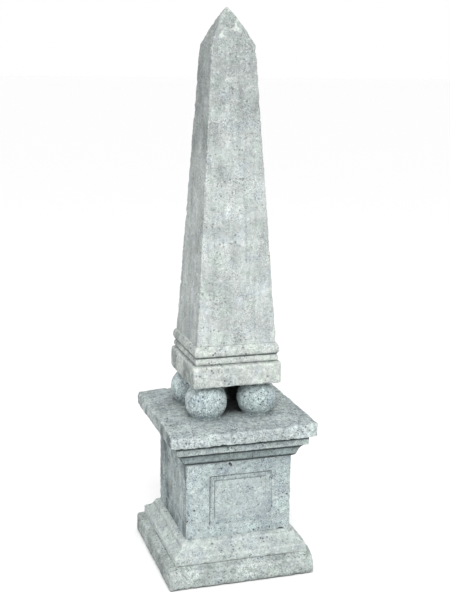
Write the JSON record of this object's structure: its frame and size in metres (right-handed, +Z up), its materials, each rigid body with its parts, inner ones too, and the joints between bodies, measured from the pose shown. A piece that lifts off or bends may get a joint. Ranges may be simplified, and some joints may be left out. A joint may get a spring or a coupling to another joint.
{
  "type": "garden obelisk",
  "caption": "Tapered stone spire with beaded foot, carried on stone balls above a moulded pedestal with sunk panels.",
  "frame": {"origin": "on the ground at the centre of the plinth's footprint", "axes": "+Z up along the spire, -Y is the front, +X is the right side seen from the front"},
  "size_m": [0.454, 0.454, 1.645],
  "materials": {
    "weathered_stone": "weathered grey granite, fine salt and pepper grain, pitted and lightly stained",
    "pale_stone": "the same granite, rubbed paler and slightly warm",
    "coarse_stone": "darker granite with a coarse dark speckle",
    "bedding_mortar": "pale lime mortar, floated by hand"
  },
  "bodies": {
    "root": {"plinth": "weathered_stone", "base_moulding": "weathered_stone", "die": "weathered_stone", "cornice": "weathered_stone", "cap_slab": "weathered_stone", "ball_bed_front_left": "bedding_mortar", "ball_bed_front_right": "bedding_mortar", "ball_bed_back_left": "bedding_mortar", "ball_bed_back_right": "bedding_mortar", "ball_front_left": "coarse_stone", "ball_front_right": "coarse_stone", "ball_back_left": "coarse_stone", "ball_back_right": "coarse_stone", "foot_block": "pale_stone", "lower_bead": "pale_stone", "upper_bead": "pale_stone", "shaft": "weathered_stone", "point": "weathered_stone"}
  },
  "joints": []
}
